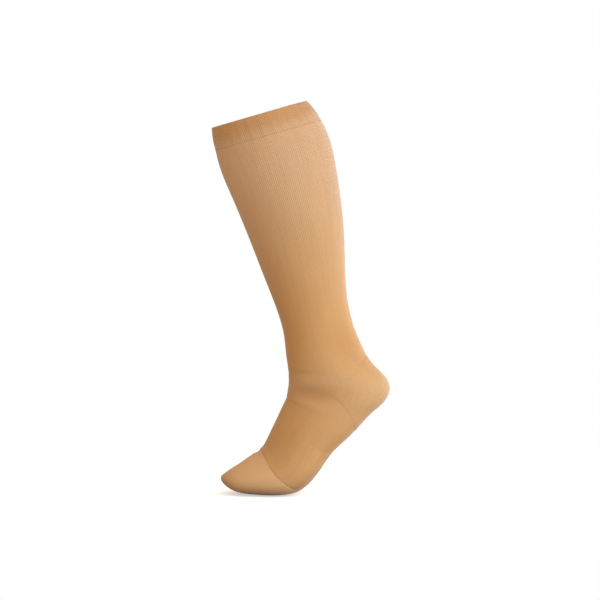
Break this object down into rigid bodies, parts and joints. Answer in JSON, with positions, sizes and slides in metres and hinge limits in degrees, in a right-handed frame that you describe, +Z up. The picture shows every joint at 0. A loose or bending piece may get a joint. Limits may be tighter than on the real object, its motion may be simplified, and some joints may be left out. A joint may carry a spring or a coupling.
{
  "type": "compression stocking",
  "caption": "Knee-length closed-toe compression stocking of tan knit, hollow and in its worn shape, with a firm turned top band and a graduated leg that narrows to the ankle.",
  "frame": {"origin": "centre of the top band at half its height, on the axis of the leg", "axes": "+Z up, towards the knee; the toes point to -X and the heel to +X; XZ is the stocking's plane of symmetry"},
  "size_m": [0.1955, 0.115, 0.4332],
  "materials": {
    "welt_knit": "double welt of nylon and elastane knit, matt, deeper tan",
    "leg_knit": "fine plain knit of nylon and covered elastane, tan, soft low sheen",
    "heel_knit": "reinforced plain knit of nylon and elastane, tan, matt",
    "toe_knit": "reinforced plain knit of nylon and elastane, lighter tan, matt"
  },
  "bodies": {
    "root": {"top_band": "welt_knit", "leg": "leg_knit", "heel": "heel_knit", "foot": "leg_knit", "toe": "toe_knit"}
  },
  "joints": []
}
